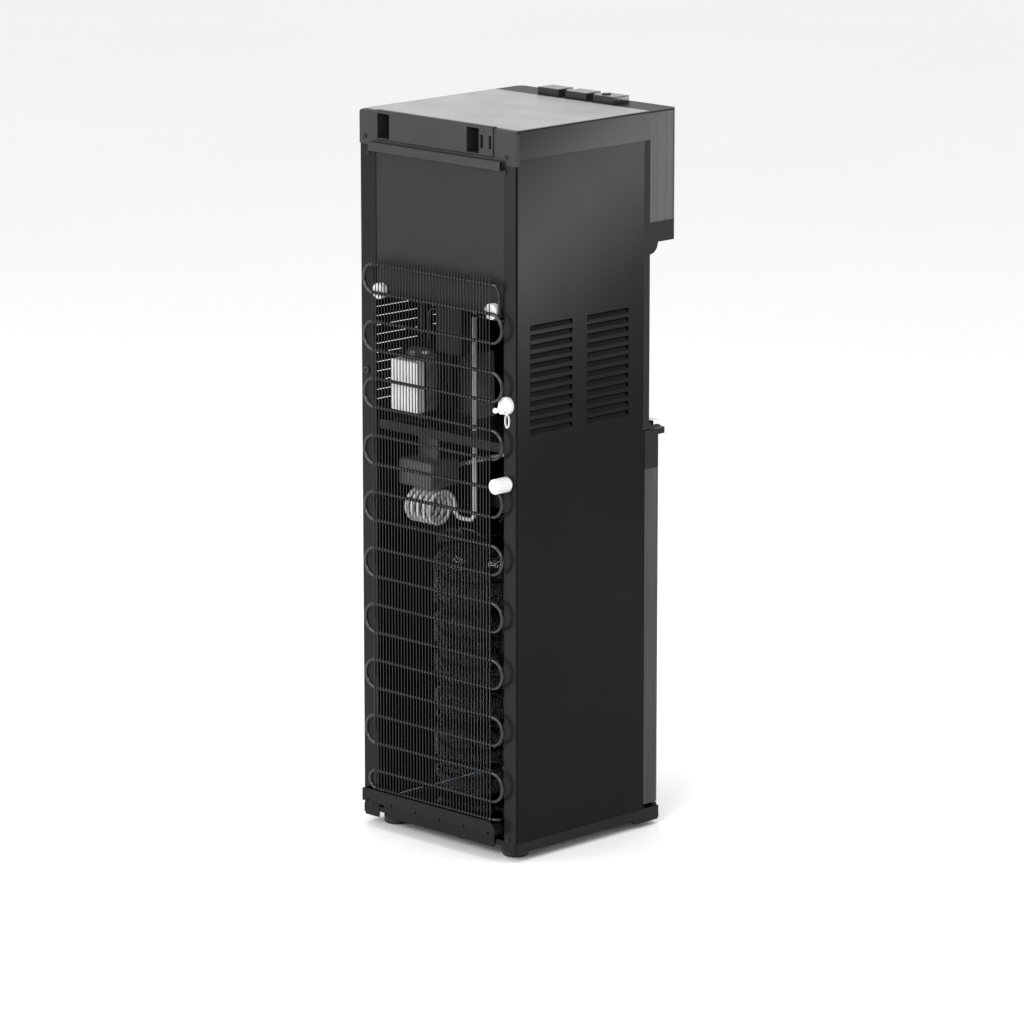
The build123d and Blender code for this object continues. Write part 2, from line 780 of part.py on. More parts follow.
# ---- hot tank in its foam
hot_y = back - hot_in
with BuildPart() as hot_foam:
    block(hot_foam_x, (shelf_front + 2, hot_y + hot_radius + 5), (shelf_top, hot_foam_top))
    post(hot_x, hot_y, (shelf_top + 12, hot_foam_top), hot_radius, mode=Mode.SUBTRACT)
save(hot_foam, "hot_tank_foam")

with BuildPart() as hot_tank:
    post(hot_x, hot_y, (shelf_top + 12, hot_top), hot_radius)
    fillet(hot_tank.edges().filter_by(GeomType.CIRCLE).sort_by(Axis.Z)[-1], 10.0)
    post(hot_x, hot_y, (hot_top, tank_shelf_low), 4.0)
save(hot_tank, "hot_tank")

# ---- cold tank, its evaporator coil and its foam
cold_y = back - cold_in
foam_low = tank_shelf_low + 1.2
with BuildPart() as cold_foam:
    block((-cold_foam_half, cold_foam_half), (shelf_front + 2, shelf_back - 4), (foam_low, cold_foam_top))
    fillet(cold_foam.edges().filter_by(Axis.Z), 12.0)
    post(0, cold_y, (cold_low, cold_foam_top), coil_radius + coil_tube + 1, mode=Mode.SUBTRACT)
save(cold_foam, "cold_tank_foam")

with BuildPart() as cold_tank:
    post(0, cold_y, (cold_low, cold_high), cold_radius)
    fillet(cold_tank.edges().filter_by(GeomType.CIRCLE).sort_by(Axis.Z)[-1], 8.0)
save(cold_tank, "cold_tank")

with BuildPart() as evaporator:
    coil_low = cold_low + 12
    with BuildLine():
        coil_line = Helix(coil_pitch, coil_pitch * coil_turns, coil_radius, center=(0, cold_y, coil_low))
    with BuildSketch(Plane(origin=coil_line @ 0, z_dir=coil_line % 0)):
        Circle(coil_tube)
    sweep(path=coil_line, is_frenet=True)
save(evaporator, "evaporator_coil")

with BuildPart() as control:
    block(box_x, (back - box_in[1], back - box_in[0]), (box_z[0], tank_shelf_low))
    fillet(control.edges().filter_by(Axis.Z), 2.0)
save(control, "control_box")

# ---- bottle with ribs, cap and dip tube
with BuildPart() as bottle:
    for inset in (0, bottle_wall):
        radius = bottle_radius - inset
        low = base_top + inset
        rib_step = (bottle_body - base_top - 30) / bottle_ribs
        with BuildSketch(Plane.XZ.offset(-bottle_y)):
            with BuildLine():
                points = [(0, low), (radius - 8, low), (radius, low + 8)]
                for rib in range(bottle_ribs):
                    rib_z = base_top + 22 + rib_step * rib
                    points += [(radius, rib_z), (radius - rib_deep, rib_z + rib_high / 2), (radius, rib_z + rib_high)]
                points.append((radius, bottle_body))
                Polyline(*points)
                TangentArc(points[-1], (bottle_neck - inset + 22, bottle_shoulder - inset), tangent=(0, 1))
                neck_top = bottle_mouth + inset
                Polyline(
                    (bottle_neck - inset + 22, bottle_shoulder - inset),
                    (bottle_neck - inset, bottle_shoulder - inset + 10),
                    (bottle_neck - inset, neck_top),
                    (0, neck_top),
                    (0, low),
                )
            make_face()
        revolve(axis=Axis((0, bottle_y, 0), (0, 0, 1)), mode=Mode.SUBTRACT if inset else Mode.ADD)
save(bottle, "water_bottle")

with BuildPart() as bottle_cap:
    post(0, bottle_y, (bottle_mouth - 16, bottle_mouth + 12), bottle_neck + 3)
    post(0, bottle_y, (bottle_mouth - 16, bottle_mouth), bottle_neck, mode=Mode.SUBTRACT)
    fillet(bottle_cap.edges().filter_by(GeomType.CIRCLE).sort_by(Axis.Z)[-1], 3.0)
    post(0, bottle_y, (bottle_mouth + 12, bottle_mouth + cap_height), 8.0)
    post(0, bottle_y, (base_top + 12, bottle_mouth), 5.0)
save(bottle_cap, "bottle_cap")

# ---- pump and hoses
pump_y = (hose_y - pump_deep / 2, hose_y + pump_deep / 2)
pump_mid = (pump_z[0] + pump_z[1]) / 2
with BuildPart() as pump:
    block(pump_x, pump_y, pump_z)
    fillet(pump.edges(), 4.0)
    block((pump_x[0] + 14, pump_x[1] - 14), (hose_y - 1, hose_y + 1), (pump_z[1] - 2, shelf_low))
save(pump, "pump")

cap_top = bottle_mouth + cap_height
probe_x = (pump_x[0] + pump_x[1]) / 2
with BuildPart() as probe_hose:
    pipe(
        [
            (probe_x, pump_y[0], pump_mid),
            (probe_x, bottle_y, pump_mid),
            (0, bottle_y, pump_mid + 25),
            (0, bottle_y, cap_top),
        ],
        (20, 11),
        hose_radius,
    )
save(probe_hose, "probe_hose")

coil_start = hose_coil_x - hose_coil_turns * hose_coil_pitch / 2
coil_end = hose_coil_x + hose_coil_turns * hose_coil_pitch / 2
coil_centre = (coil_start, hose_y, hose_coil_z)
coil_axis = Axis(coil_centre, (1, 0, 0))
upright_coil = Edge.make_helix(
    hose_coil_pitch,
    coil_end - coil_start,
    hose_coil_radius,
    center=coil_centre,
    normal=(1, 0, 0),
    lefthand=True,
)
hose_line = upright_coil.rotate(coil_axis, 90)
with BuildPart() as wound_hose:
    with BuildSketch(Plane(origin=hose_line @ 0, z_dir=hose_line % 0)):
        Circle(hose_radius)
    sweep(path=Wire([hose_line]), is_frenet=True)
save(wound_hose, "hose_coil")

with BuildPart() as hose:
    pipe(
        [
            (riser_x, riser_y, tank_shelf_low),
            (riser_x, riser_y, hose_coil_z - riser_dip),
            (coil_start, riser_y, hose_coil_z - riser_dip),
            (coil_start, riser_y, hose_coil_z),
        ],
        (12, 12),
        hose_radius,
    )
    post(coil_end, riser_y, (hose_coil_z, pump_z[0]), hose_radius)
save(hose, "delivery_hose")

# ---- condenser: one serpentine tube, upright wires and two stand-offs
tube_y = back + condenser_out
bend = pass_pitch / 2
with BuildPart() as tube:
    with BuildLine() as serpentine:
        z = pass_top
        Line((wire_right + 2, tube_y, z), (bend_left, tube_y, z))
        for number in range(pass_count - 1):
            last = number == pass_count - 2
            drop = z - last_pass if last else pass_pitch
            at_left = number % 2 == 0
            turn_x = bend_left if at_left else bend_right
            reach = drop / 2 if at_left else -drop / 2
            ThreePointArc((turn_x, tube_y, z), (turn_x + reach, tube_y, z - drop / 2), (turn_x, tube_y, z - drop))
            z -= drop
            run_end = bend_right if at_left else bend_left
            if last:
                run_end = outlet_x
            Line((turn_x, tube_y, z), (run_end, tube_y, z))
        inward = outlet_x - outlet_bend
        quarter = outlet_bend * 0.70710678
        ThreePointArc(
            (outlet_x, tube_y, z),
            (outlet_x - quarter, tube_y - outlet_bend + quarter, z),
            (inward, tube_y - outlet_bend, z),
        )
        Line((inward, tube_y - outlet_bend, z), (inward, drier_y + outlet_bend, z))
        ThreePointArc(
            (inward, drier_y + outlet_bend, z),
            (inward, drier_y + outlet_bend - quarter, z + outlet_bend - quarter),
            (inward, drier_y, z + outlet_bend),
        )
        Line((inward, drier_y, z + outlet_bend), (inward, drier_y, z + 2 * outlet_bend))
    with BuildSketch(Plane(origin=(wire_right + 2, tube_y, pass_top), z_dir=(1, 0, 0))):
        Circle(tube_radius)
    sweep(path=serpentine.wires()[0])
save(tube, "condenser_tube")

wire_y = tube_y + tube_radius + wire_radius
with BuildPart() as wires:
    wire_step = (wire_left - wire_right) / (wire_count - 1)
    with BuildSketch(Plane.XY.offset(wire_low)):
        with Locations(((wire_left + wire_right) / 2, wire_y - 0.1)):
            with GridLocations(wire_step, 1, wire_count, 1):
                Circle(wire_radius)
    extrude(amount=wire_top - wire_low)
save(wires, "condenser_wires")

with BuildPart() as standoffs:
    for side in (1, -1):
        spindle(side * mount_x, (panel_back, tube_y - tube_radius - 0.2), mount_z, mount_radius)
save(standoffs, "condenser_mounts")

with BuildPart() as refrigerant:
    line_x = -124.2
    line_y = back + 4.0
    cross_z = panel_low - 17
    pipe(
        [
            (wire_right + 2, tube_y, pass_top),
            (line_x, tube_y, pass_top),
            (line_x, line_y, pass_top - 14),
            (line_x, line_y, cross_z),
            (line_x, compressor_y + 14, cross_z),
            (compressor_x - 12, compressor_y + 14, cross_z),
            (compressor_x - 12, compressor_y + 14, compressor_high),
        ],
        [5, 5, 12, 14, 14],
        tube_radius - 0.1,
    )
    post(compressor_x + 15, compressor_y, (compressor_high, tank_shelf_low), 4.0)
save(refrigerant, "refrigerant_lines")

with BuildPart() as drier:
    drier_low = last_pass + 2 * outlet_bend
    post(drier_x, drier_y, (drier_low, drier_low + 95), 8.5)
    fillet(drier.edges().filter_by(GeomType.CIRCLE), 4.0)
    post(drier_x + 2.5, drier_y, (drier_low + 95, tank_shelf_low), 1.3)
save(drier, "filter_drier")

# ---- drains on the right flange
with BuildPart() as drains:
    for drain_z in (drain_cold_z, drain_hot_z):
        spindle(drain_x, (back - 22, back + 12), drain_z, drain_stub)
    spindle(drain_x + 1, (back, back + drain_flange_thick), drain_cold_z + 3.5, drain_flange)
    spindle(drain_x, (back, back + 3), drain_hot_z, 8.0)
    for drain_z in (drain_cold_z, drain_hot_z):
        spindle(drain_x, (back - 22, back + 12), drain_z, drain_bore, mode=Mode.SUBTRACT)
    with BuildSketch(Plane.XZ.offset(-back - 2)):
        with Locations((drain_x + 1, drain_cold_z - 18)):
            Ellipse(4.5, 10)
            Ellipse(3, 8, mode=Mode.SUBTRACT)
    extrude(amount=2)
save(drains, "drain_fittings")

with BuildPart() as cold_plug:
    plug_low = back + drain_flange_thick + 0.3
    spindle(drain_x, (plug_low, back + 14.5), drain_cold_z, 6.5)
    spindle(drain_x, (back + 14.5, back + rear_reach - knob_radius), drain_cold_z, 2.0)
    with Locations((drain_x, back + rear_reach - knob_radius, drain_cold_z)):
        Sphere(knob_radius)
    spindle(drain_x, (plug_low, back + 12.3), drain_cold_z, drain_stub + run_fit, mode=Mode.SUBTRACT)
save(cold_plug, "drain_cold_cap")

with BuildPart() as hot_cap:
    cap_start = back + 3.3
    spindle(drain_x, (cap_start, back + rear_reach), drain_hot_z, hot_cap_radius)
    chamfer(hot_cap.edges().filter_by(GeomType.CIRCLE).group_by(Axis.Y)[-1], 1.5)
    with BuildSketch(Plane.XZ.offset(-back - rear_reach)):
        with Locations((drain_x, drain_hot_z)):
            with PolarLocations(hot_cap_radius, hot_cap_ribs):
                Circle(0.7)
    extrude(amount=rear_reach - 8, mode=Mode.SUBTRACT)
    spindle(drain_x, (cap_start, back + 12.3), drain_hot_z, drain_stub + run_fit, mode=Mode.SUBTRACT)
save(hot_cap, "drain_hot_cap")

# ---- door: hollow shell, folded steel skin, pull lip, and two pins it turns on
door_back = side_front - door_gap
door_front = door_back - door_thick
door_half = half - door_side_gap
pin_y = rim - door_pin_behind


def door_plan(z, inset):
    """Plan of the door with rounded corners."""
    with BuildSketch(Plane.XY.offset(z)) as plan:
        with Locations((0, (door_front + inset + door_back) / 2)):
            Rectangle(2 * (door_half - inset), door_back - door_front - inset)
        fillet(plan.vertices().group_by(Axis.Y)[0], door_corner - inset)
        fillet(plan.vertices().sort_by_distance((door_half, door_back))[0], door_heel)
    return plan.sketch


with BuildPart() as door:
    extrude(door_plan(door_low, sheet), amount=door_skin_top - door_low)
    extrude(door_plan(door_skin_top, 0), amount=door_top - door_skin_top)
    block((-door_half + 2, door_half - 2), (door_front - pull_reach, door_front + 1), (door_top - pull_high, door_top))
    fillet(door.edges().filter_by(Axis.Z).group_by(Axis.Y)[0], 4.0)
    block(
        (-door_half + 4, door_half - 4),
        (door_front + sheet + wall, door_back),
        (door_low + wall, door_top - wall),
        mode=Mode.SUBTRACT,
    )
    block((-door_half + 6, door_half - 18), (door_front + 11, door_back), (door_low, door_low + wall), mode=Mode.SUBTRACT)
    for boss_z in ((door_low, door_low + door_boss_high), (door_top - door_boss_high, door_top)):
        block((door_pin_x - door_boss, door_half - 4), (door_front + sheet + wall, door_back - 4), boss_z)
        post(door_pin_x, pin_y, boss_z, door_pin + run_fit, mode=Mode.SUBTRACT)
save(door, "door_shell")

with BuildPart() as door_skin:
    extrude(door_plan(door_low, 0), amount=door_skin_top - door_low)
    extrude(door_plan(door_low, sheet), amount=door_skin_top - door_low, mode=Mode.SUBTRACT)
save(door_skin, "door_skin")

with BuildPart() as pins:
    post(door_pin_x, pin_y, (base_top, door_low + door_boss_high - 1), door_pin)
    post(door_pin_x, pin_y, (base_top, door_low - 1), door_pin + 3)
    post(door_pin_x, pin_y, (door_top - door_boss_high + 1, ledge_top - ledge_thick), door_pin)
    post(door_pin_x, pin_y, (door_top + 1, ledge_top - ledge_thick), door_pin + 3)
save(pins, "hinge_pins")

with BuildPart() as frame_piece:
    block((-half, half), (side_front - frame_plate, side_front), (base_top, ledge_top - ledge_thick))
    block(
        (-half + frame_bar + 4, half - frame_bar - 4),
        (side_front - frame_plate, side_front),
        (base_top, ledge_top - ledge_thick - frame_bar),
        mode=Mode.SUBTRACT,
    )
save(frame_piece, "door_frame")
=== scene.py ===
# %% [markdown]
# A water dispenser seen from behind is mostly black: powder-coated sheet, moulded plastic and enamelled tube.
# Its shape is already exact in the frame, so this notebook gives each piece its real finish,
# rebuilds what repeats with Geometry Nodes, and lights the whole in a pale studio.

# %% frame
import bpy
import math
from mathutils import Matrix, Vector


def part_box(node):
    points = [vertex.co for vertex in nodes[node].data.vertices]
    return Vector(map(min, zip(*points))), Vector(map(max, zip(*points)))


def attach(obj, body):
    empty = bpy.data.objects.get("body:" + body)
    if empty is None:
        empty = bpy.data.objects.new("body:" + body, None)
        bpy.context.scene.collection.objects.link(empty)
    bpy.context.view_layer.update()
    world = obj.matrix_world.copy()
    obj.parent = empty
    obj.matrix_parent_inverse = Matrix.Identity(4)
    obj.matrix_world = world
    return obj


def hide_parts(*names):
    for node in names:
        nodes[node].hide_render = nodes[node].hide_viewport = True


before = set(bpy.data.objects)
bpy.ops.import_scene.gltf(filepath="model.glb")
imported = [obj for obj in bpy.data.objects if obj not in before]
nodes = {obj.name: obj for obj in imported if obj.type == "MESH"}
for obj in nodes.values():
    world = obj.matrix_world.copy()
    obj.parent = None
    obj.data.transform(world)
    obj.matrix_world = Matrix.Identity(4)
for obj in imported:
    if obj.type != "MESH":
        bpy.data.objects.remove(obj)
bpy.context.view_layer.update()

# %% [markdown]
# Real finishes are never one flat value. Powder coat has a fine grain, moulded plastic has a soft
# spark-eroded texture, and drawn steel has lines. One helper lays two noises on Object coordinates: a fine
# one for grain, which drives bump, and a broad one that moves colour and roughness a little. Object
# coordinates stay put when the camera or a joint moves.

# %% finish helper
noise_share = 0.5
ramp_dark = 0.35
ramp_light = 0.65
bump_depth = 0.0004


def finish(
    name,
    dark,
    light,
    rough,
    grain=1500.0,
    cloud=9.0,
    bump=0.05,
    stretch=(1, 1, 1),
    painted_light_from=None,
    **shader,
):
    """A finish whose colour and roughness drift a little, with a fine bump.
    The stretch pulls the grain into lines. A Y and a colour may be given together; what lies beyond that Y
    then takes that colour, as painted light that stands in for brighter light falling there."""
    made = bpy.data.materials.new(name)
    made.use_nodes = True
    tree = made.node_tree
    surface = tree.nodes["Principled BSDF"]
    place = tree.nodes.new("ShaderNodeTexCoord")
    pull = tree.nodes.new("ShaderNodeMapping")
    pull.inputs["Scale"].default_value = stretch
    tree.links.new(place.outputs["Object"], pull.inputs["Vector"])
    fine = tree.nodes.new("ShaderNodeTexNoise")
    fine.inputs["Scale"].default_value = grain
    fine.inputs["Detail"].default_value = 3.0
    broad = tree.nodes.new("ShaderNodeTexNoise")
    broad.inputs["Scale"].default_value = cloud
    broad.inputs["Detail"].default_value = 4.0
    for noise in (fine, broad):
        tree.links.new(pull.outputs["Vector"], noise.inputs["Vector"])
    blend = tree.nodes.new("ShaderNodeMath")
    blend.operation = "MULTIPLY_ADD"
    blend.inputs[1].default_value = noise_share
    tree.links.new(fine.outputs["Fac"], blend.inputs[0])
    half = tree.nodes.new("ShaderNodeMath")
    half.operation = "MULTIPLY"
    half.inputs[1].default_value = noise_share
    tree.links.new(broad.outputs["Fac"], half.inputs[0])
    tree.links.new(half.outputs[0], blend.inputs[2])
    ramp = tree.nodes.new("ShaderNodeValToRGB")
    ramp.color_ramp.elements[0].position = ramp_dark
    ramp.color_ramp.elements[0].color = (*dark, 1)
    ramp.color_ramp.elements[1].position = ramp_light
    ramp.color_ramp.elements[1].color = (*light, 1)
    tree.links.new(blend.outputs[0], ramp.inputs["Fac"])
    colour = ramp.outputs["Color"]
    # Painted light: beyond the given Y the colour is swapped for a lighter one that stands in for light
    # falling there.
    if painted_light_from:
        split = tree.nodes.new("ShaderNodeSeparateXYZ")
        tree.links.new(place.outputs["Object"], split.inputs["Vector"])
        beyond = tree.nodes.new("ShaderNodeMath")
        beyond.operation = "GREATER_THAN"
        beyond.inputs[1].default_value = painted_light_from[0]
        tree.links.new(split.outputs["Y"], beyond.inputs[0])
        swap = tree.nodes.new("ShaderNodeMix")
        swap.data_type = "RGBA"
        for socket in swap.inputs:
            if socket.name == "A" and socket.type == "RGBA":
                tree.links.new(colour, socket)
            if socket.name == "B" and socket.type == "RGBA":
                socket.default_value = (*painted_light_from[1], 1)
        tree.links.new(beyond.outputs[0], swap.inputs["Factor"])
        colour = next(socket for socket in swap.outputs if socket.type == "RGBA")
    tree.links.new(colour, surface.inputs["Base Color"])
    spread = tree.nodes.new("ShaderNodeMapRange")
    spread.inputs["To Min"].default_value = rough[0]
    spread.inputs["To Max"].default_value = rough[1]
    tree.links.new(blend.outputs[0], spread.inputs["Value"])
    tree.links.new(spread.outputs["Result"], surface.inputs["Roughness"])
    raised = tree.nodes.new("ShaderNodeBump")
    raised.inputs["Strength"].default_value = bump
    raised.inputs["Distance"].default_value = bump_depth
    tree.links.new(fine.outputs["Fac"], raised.inputs["Height"])
    tree.links.new(raised.outputs["Normal"], surface.inputs["Normal"])
    for socket, value in shader.items():
        surface.inputs[socket.replace("_", " ")].default_value = value
    return made


print("a finish mixes its two noises", noise_share, "to", noise_share)

# %% [markdown]
# Each maker's finish gets its own numbers: gloss black coat on the folded sides, satin on mouldings,
# lines along the brushed steel, and a slight milky look on silicone hose. The side panel's turned edge faces
# the back and has the same coat as the side; it is given a lighter black, by how far back it lies, as painted
# light standing in for the brighter light that falls on it from behind.

# %% finishes
edge_play = 0.0004


def grey(value):
    """The same value in each channel."""
    return (value, value, value * 1.02)


flange_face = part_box("side_panel_right")[1][1] - edge_play
side_coat = finish(
    "side_coat",
    grey(0.0015),
    grey(0.003),
    (0.14, 0.24),
    bump=0.02,
    # Painted light: the turned edge's lighter black stands in for the light that falls on it from behind.
    painted_light_from=(flange_face, grey(0.012)),
    Specular_IOR_Level=0.09,
)
back_coat = finish("back_coat", grey(0.007), grey(0.012), (0.4, 0.52), bump=0.12, Specular_IOR_Level=0.2)
cap_plastic = finish(
    "cap_plastic", grey(0.012), grey(0.02), (0.42, 0.56), grain=2200, bump=0.2, Specular_IOR_Level=0.3
)
black_plastic = finish(
    "black_plastic", grey(0.003), grey(0.006), (0.35, 0.5), grain=2200, bump=0.15, Specular_IOR_Level=0.16
)
top_plastic = finish("top_plastic", grey(0.16), grey(0.26), (0.3, 0.42), grain=700, cloud=14, bump=0.5)
dark_skin = finish(
    "dark_skin",
    grey(0.03),
    grey(0.06),
    (0.28, 0.4),
    grain=260,
    cloud=5,
    bump=0.06,
    stretch=(1, 1, 0.02),
    Metallic=0.7,
)
key_gloss = finish("key_gloss", grey(0.012), grey(0.02), (0.12, 0.22), bump=0.02)
rubber = finish("rubber", grey(0.01), grey(0.018), (0.6, 0.75), grain=900, bump=0.25)
steel = finish(
    "steel", grey(0.62), grey(0.76), (0.22, 0.36), grain=320, stretch=(0.05, 1, 1), bump=0.08, Metallic=1.0
)
zinc = finish(
    "zinc", (0.35, 0.34, 0.3), (0.5, 0.48, 0.43), (0.3, 0.42), grain=700, bump=0.1, Metallic=1.0
)
enamel = finish(
    "enamel", grey(0.003), grey(0.006), (0.16, 0.26), grain=600, bump=0.03, Specular_IOR_Level=0.5
)
black_zinc = finish(
    "black_zinc", grey(0.004), grey(0.008), (0.3, 0.45), grain=700, bump=0.1, Specular_IOR_Level=0.3
)
band_gloss = finish(
    "band_gloss", grey(0.002), grey(0.004), (0.12, 0.2), bump=0.02, Specular_IOR_Level=0.12
)
copper = finish(
    "copper", (0.45, 0.2, 0.1), (0.62, 0.3, 0.17), (0.28, 0.45), grain=500, bump=0.06, Metallic=1.0
)
white_plastic = finish("white_plastic", grey(0.62), grey(0.72), (0.35, 0.5), grain=1800, bump=0.1)
foam = finish("foam", grey(0.2), grey(0.3), (0.8, 0.95), grain=420, bump=0.6)
foam_dark = finish("foam_dark", grey(0.02), grey(0.035), (0.8, 0.95), grain=420, bump=0.6)
silicone = finish(
    "silicone", grey(0.66), grey(0.76), (0.3, 0.42), grain=500, bump=0.05, Transmission_Weight=0.1
)
pump_grey = finish("pump_grey", grey(0.05), grey(0.08), (0.4, 0.55), grain=1500, bump=0.1)
board_green = finish(
    "board_green", (0.01, 0.07, 0.03), (0.015, 0.1, 0.04), (0.35, 0.5), grain=500, bump=0.2
)
bottle_clear = finish(
    "bottle_clear",
    (0.72, 0.82, 0.9),
    (0.8, 0.88, 0.94),
    (0.03, 0.07),
    grain=20,
    bump=0.0,
    Transmission_Weight=1.0,
    IOR=1.16,
)
print("finishes", len(bpy.data.materials))

# %% [markdown]
# A finish goes on a CAD node through its object's material slot, which leaves the exact mesh alone.

# %% dress the nodes
dressed = {
    side_coat: ("side_panel_left", "side_panel_right", "door_frame"),
    back_coat: ("upper_back_panel", "compressor_shelf", "tank_shelf"),
    cap_plastic: ("rear_cap", "grip_rail"),
    black_plastic: (
        "base_pan",
        "rear_lip",
        "front_panel",
        "niche_liner",
        "head_shell",
        "door_shell",
        "drip_tray",
        "control_box",
        "bottle_cap",
        "switch_housing",
    ),
    band_gloss: ("top_cover", "child_lock", "rocker_heating", "rocker_cooling"),
    top_plastic: ("top_plate",),
    dark_skin: ("head_skin", "door_skin"),
    key_gloss: ("key_cold", "key_room", "key_hot", "spouts"),
    rubber: ("rear_foot_left", "rear_foot_right", "compressor_mounts", "cord_gland"),
    steel: ("drip_grille", "hot_tank", "cold_tank"),
    zinc: ("key_spring_cold", "key_spring_room", "key_spring_hot", "hinge_pins"),
    enamel: ("compressor", "condenser_tube", "refrigerant_lines"),
    copper: ("filter_drier", "evaporator_coil"),
    white_plastic: ("relay_box", "condenser_mounts", "drain_fittings", "drain_cold_cap", "drain_hot_cap"),
    pump_grey: ("pump",),
    foam: ("hot_tank_foam",),
    foam_dark: ("cold_tank_foam",),
    silicone: ("probe_hose", "delivery_hose", "hose_coil"),
    board_green: ("key_board",),
    bottle_clear: ("water_bottle",),
}
for made, names in dressed.items():
    for name in names:
        for place in nodes[name].material_slots:
            place.material = made
print("dressed", sum(len(names) for names in dressed.values()), "of", len(nodes))

# %% [markdown]
# Pieces that repeat are grown by Geometry Nodes trees. Each tree is built here with named inputs for its
# sizes, is run once, and its result is kept as a plain mesh, so three small helpers serve every tree.


# %% tree helpers
def new_tree(name, sockets):
    """An empty tree with a geometry input and output and named number inputs."""
    tree = bpy.data.node_groups.new(name, "GeometryNodeTree")
    tree.interface.new_socket("Geometry", in_out="INPUT", socket_type="NodeSocketGeometry")
    tree.interface.new_socket("Geometry", in_out="OUTPUT", socket_type="NodeSocketGeometry")
    for label, kind in sockets:
        tree.interface.new_socket(label, in_out="INPUT", socket_type=kind)
    return tree, tree.nodes.new("NodeGroupInput"), tree.nodes.new("NodeGroupOutput")


def grown(name, tree, values, start=None):
    """Runs a tree on a mesh and returns the result as a plain mesh object."""
    seed = bpy.data.objects.new(name + "_seed", start or bpy.data.meshes.new(name + "_seed"))
    bpy.context.scene.collection.objects.link(seed)
    modifier = seed.modifiers.new("grow", "NODES")
    modifier.node_group = tree
    for item in tree.interface.items_tree:
        if item.in_out == "INPUT" and item.name in values:
            modifier[item.identifier] = values[item.name]
    shaped = bpy.data.meshes.new_from_object(seed.evaluated_get(bpy.context.evaluated_depsgraph_get()))
    seed.modifiers.remove(modifier)
    bpy.data.objects.remove(seed)
    piece = bpy.data.objects.new(name, shaped)
    bpy.context.scene.collection.objects.link(piece)
    print(name, "faces", len(shaped.polygons))
    return piece


def close_tree(tree, last, out, made):
    """Ends a tree with real copies and their finish."""
    real = tree.nodes.new("GeometryNodeRealizeInstances")
    paint = tree.nodes.new("GeometryNodeSetMaterial")
    paint.inputs["Material"].default_value = made
    tree.links.new(last, real.inputs["Geometry"])
    tree.links.new(real.outputs["Geometry"], paint.inputs["Geometry"])
    tree.links.new(paint.outputs["Geometry"], out.inputs["Geometry"])


print("tree helpers", new_tree.__name__, grown.__name__, close_tree.__name__)

# %% [markdown]
# The condenser's upright wires are one thin rod repeated side by side. Typing or copying them would hide the
# rule, so the tree sets out a line of points, stands a rod on each, and makes the copies real.

# %% condenser wires
wire_low, wire_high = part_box("condenser_wires")
wire_count = 39
wire_sides = 10
wire_radius = (wire_high[1] - wire_low[1]) / 2
wire_tree, wire_in, wire_out = new_tree(
    "condenser_wires",
    (
        ("Count", "NodeSocketInt"),
        ("Step", "NodeSocketFloat"),
        ("Radius", "NodeSocketFloat"),
        ("Length", "NodeSocketFloat"),
    ),
)
row = wire_tree.nodes.new("GeometryNodeMeshLine")
step = wire_tree.nodes.new("ShaderNodeCombineXYZ")
row.inputs["Start Location"].default_value = (
    wire_low[0] + wire_radius,
    (wire_low[1] + wire_high[1]) / 2,
    (wire_low[2] + wire_high[2]) / 2,
)
rod = wire_tree.nodes.new("GeometryNodeMeshCylinder")
rod.inputs["Vertices"].default_value = wire_sides
stand = wire_tree.nodes.new("GeometryNodeInstanceOnPoints")
wire_tree.links.new(wire_in.outputs["Count"], row.inputs["Count"])
wire_tree.links.new(wire_in.outputs["Step"], step.inputs["X"])
wire_tree.links.new(step.outputs["Vector"], row.inputs["Offset"])
wire_tree.links.new(wire_in.outputs["Radius"], rod.inputs["Radius"])
wire_tree.links.new(wire_in.outputs["Length"], rod.inputs["Depth"])
wire_tree.links.new(row.outputs["Mesh"], stand.inputs["Points"])
wire_tree.links.new(rod.outputs["Mesh"], stand.inputs["Instance"])
close_tree(wire_tree, stand.outputs["Instances"], wire_out, enamel)
wires = grown(
    "condenser_rods",
    wire_tree,
    {
        "Count": wire_count,
        "Step": (wire_high[0] - wire_low[0] - 2 * wire_radius) / (wire_count - 1),
        "Radius": wire_radius,
        "Length": wire_high[2] - wire_low[2],
    },
)
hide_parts("condenser_wires")
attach(wires, "cabinet")

# %% [markdown]
# The back is held by cross-head screws. Each is a low round head with two crossed grooves, so one head is cut
# in the tree and set on every point where a screw goes.

# %% screws
screw_low, screw_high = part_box("back_screws")
screw_radius = 0.0032
screw_sides = 28
groove_long = 0.004
groove_wide = 0.0008
groove_high = 0.0016
groove_lift = 0.0008
screw_spots = [
    (0.1415, 0.9835),
    (0.135, 0.9625),
    (-0.133, 0.984),
    (-0.131, 0.963),
    (-0.137, 0.0315),
    (0.137, 0.0315),
]
spots = bpy.data.meshes.new("screw_spots")
spots.from_pydata([(x, (screw_low[1] + screw_high[1]) / 2, z) for x, z in screw_spots], [], [])
screw_tree, screw_in, screw_out = new_tree(
    "back_screws", (("Radius", "NodeSocketFloat"), ("Height", "NodeSocketFloat"))
)
head = screw_tree.nodes.new("GeometryNodeMeshCylinder")
head.inputs["Vertices"].default_value = screw_sides
screw_tree.links.new(screw_in.outputs["Radius"], head.inputs["Radius"])
screw_tree.links.new(screw_in.outputs["Height"], head.inputs["Depth"])
cut = screw_tree.nodes.new("GeometryNodeMeshBoolean")
cut.operation = "DIFFERENCE"
screw_tree.links.new(head.outputs["Mesh"], cut.inputs["Mesh 1"])
